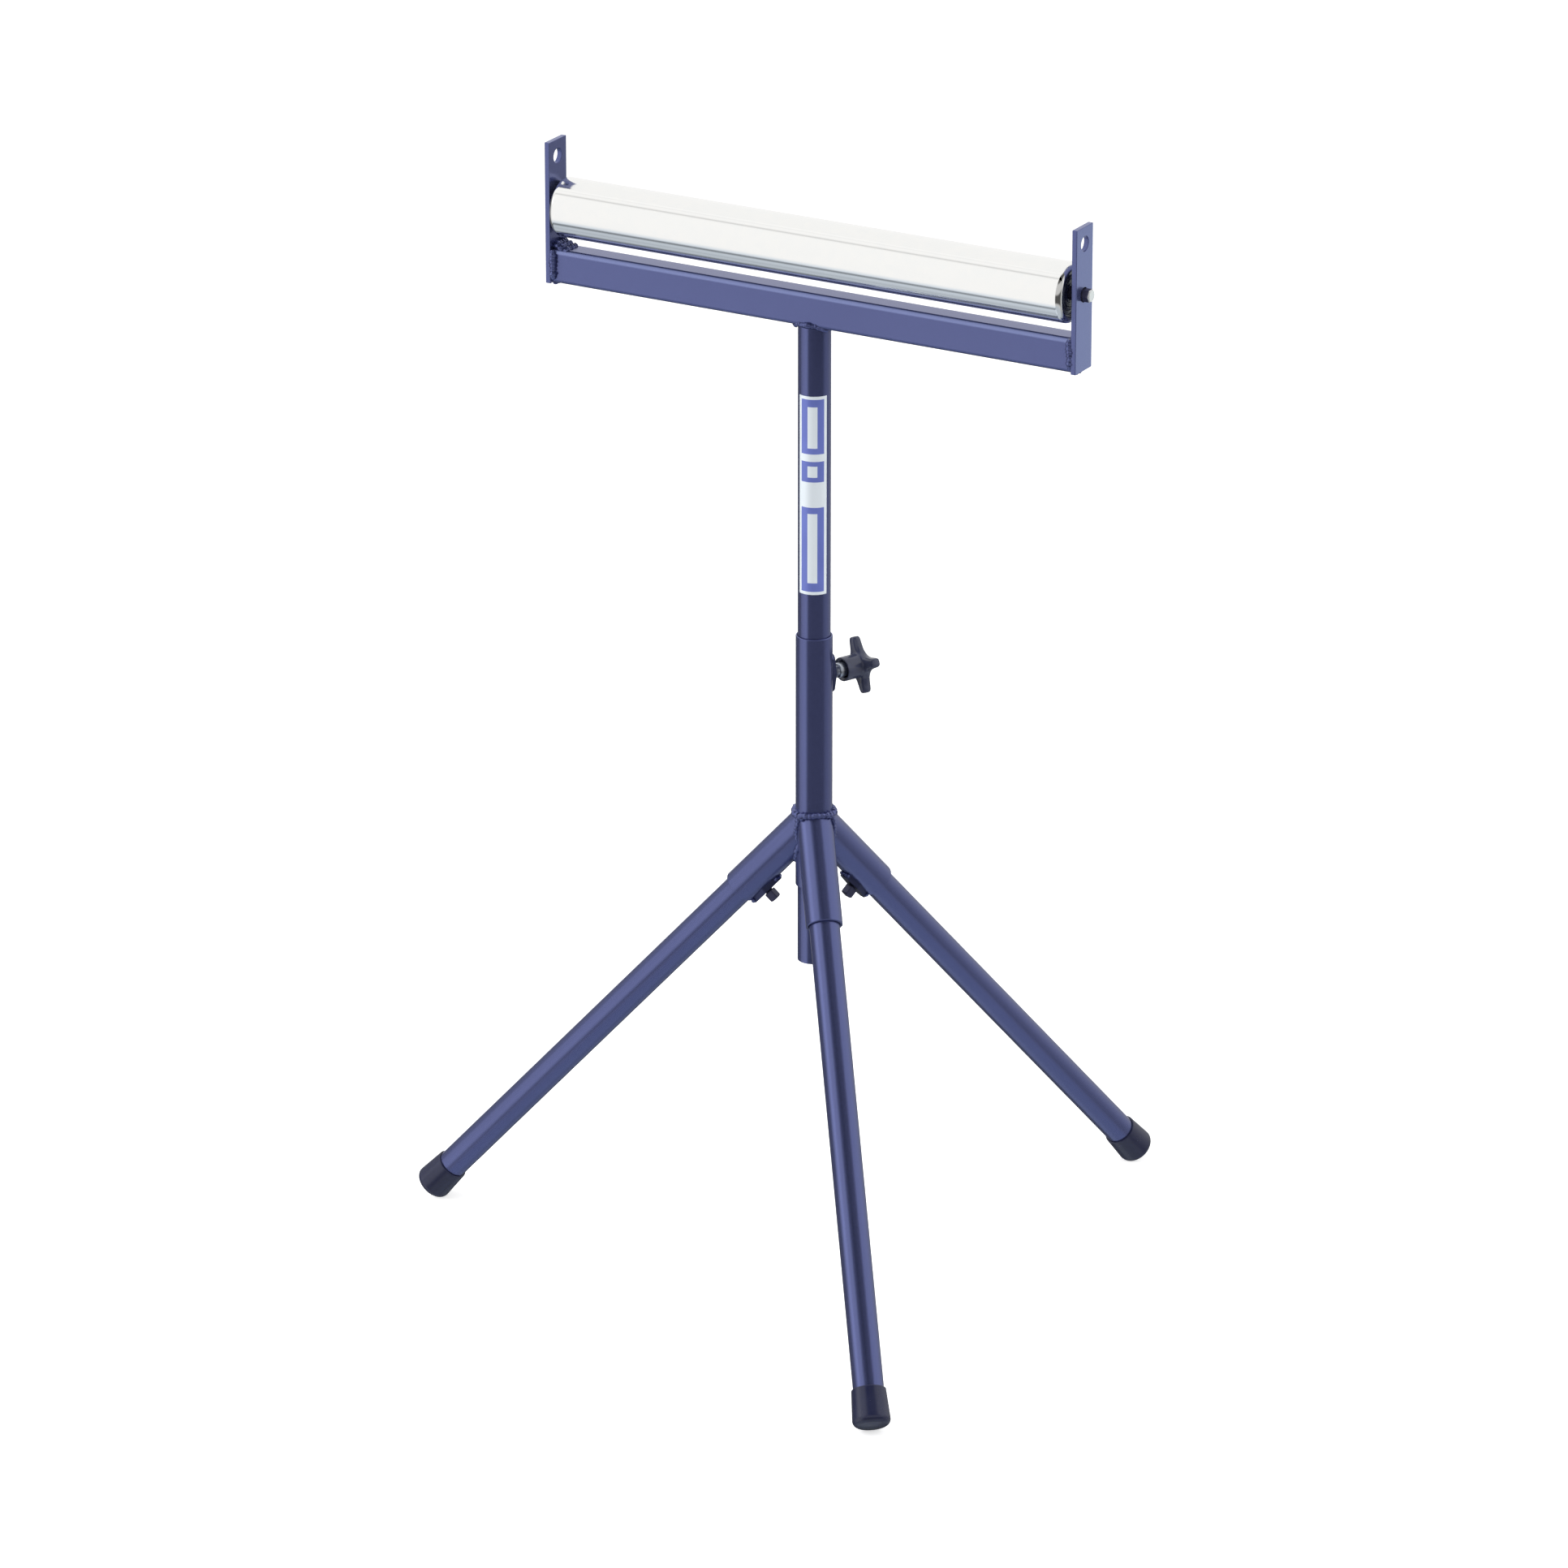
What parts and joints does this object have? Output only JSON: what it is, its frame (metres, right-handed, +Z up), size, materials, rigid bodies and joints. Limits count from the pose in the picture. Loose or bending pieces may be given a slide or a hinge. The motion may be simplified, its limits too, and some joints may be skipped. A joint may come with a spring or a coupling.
{
  "type": "roller stand",
  "caption": "Height-adjustable roller stand: a plain roller between upright brackets on a crossbar, on a mast clamped by a star knob in a column with splayed plug-in tube legs.",
  "frame": {"origin": "on the floor, under the column's axis", "axes": "+X along the roller, towards the end where the axle stands out further; +Z up along the column; +Y from the crossbar's front face to its back face"},
  "size_m": [0.6774, 0.6954, 1.044],
  "materials": {
    "blue_paint": "satin",
    "black_rubber": "matte",
    "black_plastic": "satin",
    "black_steel": "satin",
    "bright_zinc": "polished",
    "bare_steel": "satin"
  },
  "bodies": {
    "base": {"column_outer_tube": "blue_paint", "column_clamp_pad": "blue_paint", "leg_socket_front": "blue_paint", "leg_socket_right": "blue_paint", "leg_socket_left": "blue_paint", "leg_clamp_pad_front": "blue_paint", "leg_clamp_pad_right": "blue_paint", "leg_clamp_pad_left": "blue_paint"},
    "leg_front": {"leg_tube_front": "blue_paint", "foot_cap_front": "black_rubber"},
    "leg_right": {"leg_tube_right": "blue_paint", "foot_cap_right": "black_rubber"},
    "leg_left": {"leg_tube_left": "blue_paint", "foot_cap_left": "black_rubber"},
    "set_screw_front": {"leg_set_screw_front": "black_steel"},
    "set_screw_right": {"leg_set_screw_right": "black_steel"},
    "set_screw_left": {"leg_set_screw_left": "black_steel"},
    "clamp_stud": {"knob_stud": "bare_steel"},
    "clamp_knob": {"knob_grip": "black_plastic", "knob_bush": "bright_zinc"},
    "mast": {"mast_tube": "blue_paint"},
    "head": {"crossbar": "blue_paint", "bracket_left": "blue_paint", "bracket_right": "blue_paint", "bearing_inner_race_left": "bare_steel", "bearing_inner_race_right": "bare_steel"},
    "axle": {"axle": "bare_steel", "axle_stop_ring": "bare_steel", "axle_spring_seat": "bare_steel", "axle_spring": "bare_steel"},
    "roller": {"roller_tube": "bright_zinc", "bearing_housing_left": "black_plastic", "bearing_housing_right": "black_plastic", "bearing_outer_race_left": "bare_steel", "bearing_outer_race_right": "bare_steel", "bearing_seal_left": "black_rubber", "bearing_seal_right": "black_rubber"},
    "ball_cage_left": {"bearing_ball_cage_left": "bare_steel"},
    "ball_cage_right": {"bearing_ball_cage_right": "bare_steel"}
  },
  "joints": [
    {"name": "mast_height", "type": "slide", "parent": "base", "child": "mast", "axis": [0, 0, 1], "range_m": [-0.28, 0.25]},
    {"name": "head_swivel", "type": "hinge", "parent": "mast", "child": "head", "pos_m": [0, 0, 0.9], "axis": [0, 0, 1], "continuous": true},
    {"name": "roller_spin", "type": "hinge", "parent": "head", "child": "roller", "pos_m": [0, 0, 0.98169], "axis": [1, 0, 0], "continuous": true},
    {"name": "ball_cage_left_spin", "type": "hinge", "parent": "head", "child": "ball_cage_left", "pos_m": [-0.2525, 0, 0.98169], "axis": [1, 0, 0], "continuous": true},
    {"name": "ball_cage_right_spin", "type": "hinge", "parent": "head", "child": "ball_cage_right", "pos_m": [0.2525, 0, 0.98169], "axis": [1, 0, 0], "continuous": true},
    {"name": "axle_push", "type": "slide", "parent": "head", "child": "axle", "axis": [1, 0, 0], "range_m": [0, 0.009], "stiffness_N_per_m": 2000, "springref_m": -0.008, "deforming": ["axle_spring"]},
    {"name": "clamp_travel", "type": "slide", "parent": "base", "child": "clamp_stud", "axis": [0.3875, 0.9219, 0], "range_m": [0, 0.00281]},
    {"name": "clamp_turn", "type": "hinge", "parent": "clamp_stud", "child": "clamp_knob", "pos_m": [0, 0, 0.57599], "axis": [0.3875, 0.9219, 0], "range_deg": [0, 675]},
    {"name": "leg_front_pull", "type": "slide", "parent": "base", "child": "leg_front", "axis": [0.4061, -0.535, -0.7408], "range_m": [0, 0.07]},
    {"name": "leg_right_pull", "type": "slide", "parent": "base", "child": "leg_right", "axis": [0.2603, 0.6192, -0.7408], "range_m": [0, 0.07]},
    {"name": "leg_left_pull", "type": "slide", "parent": "base", "child": "leg_left", "axis": [-0.6664, -0.0842, -0.7408], "range_m": [0, 0.07]},
    {"name": "set_screw_front_turn", "type": "hinge", "parent": "base", "child": "set_screw_front", "pos_m": [0.03614, -0.04762, 0.37456], "axis": [-0.4479, 0.5901, -0.6717], "range_deg": [0, 585]},
    {"name": "set_screw_right_turn", "type": "hinge", "parent": "base", "child": "set_screw_right", "pos_m": [0.02317, 0.05511, 0.37456], "axis": [-0.2871, -0.6829, -0.6717], "range_deg": [0, 585]},
    {"name": "set_screw_left_turn", "type": "hinge", "parent": "base", "child": "set_screw_left", "pos_m": [-0.05931, -0.00749, 0.37456], "axis": [0.735, 0.0928, -0.6717], "range_deg": [0, 585]}
  ],
  "couplings": [
    {"joint": "ball_cage_left_spin", "follows": "roller_spin", "ratio": 0.5897},
    {"joint": "ball_cage_right_spin", "follows": "roller_spin", "ratio": 0.5897},
    {"joint": "clamp_turn", "follows": "clamp_travel", "rad_per_m": 4188.8}
  ]
}
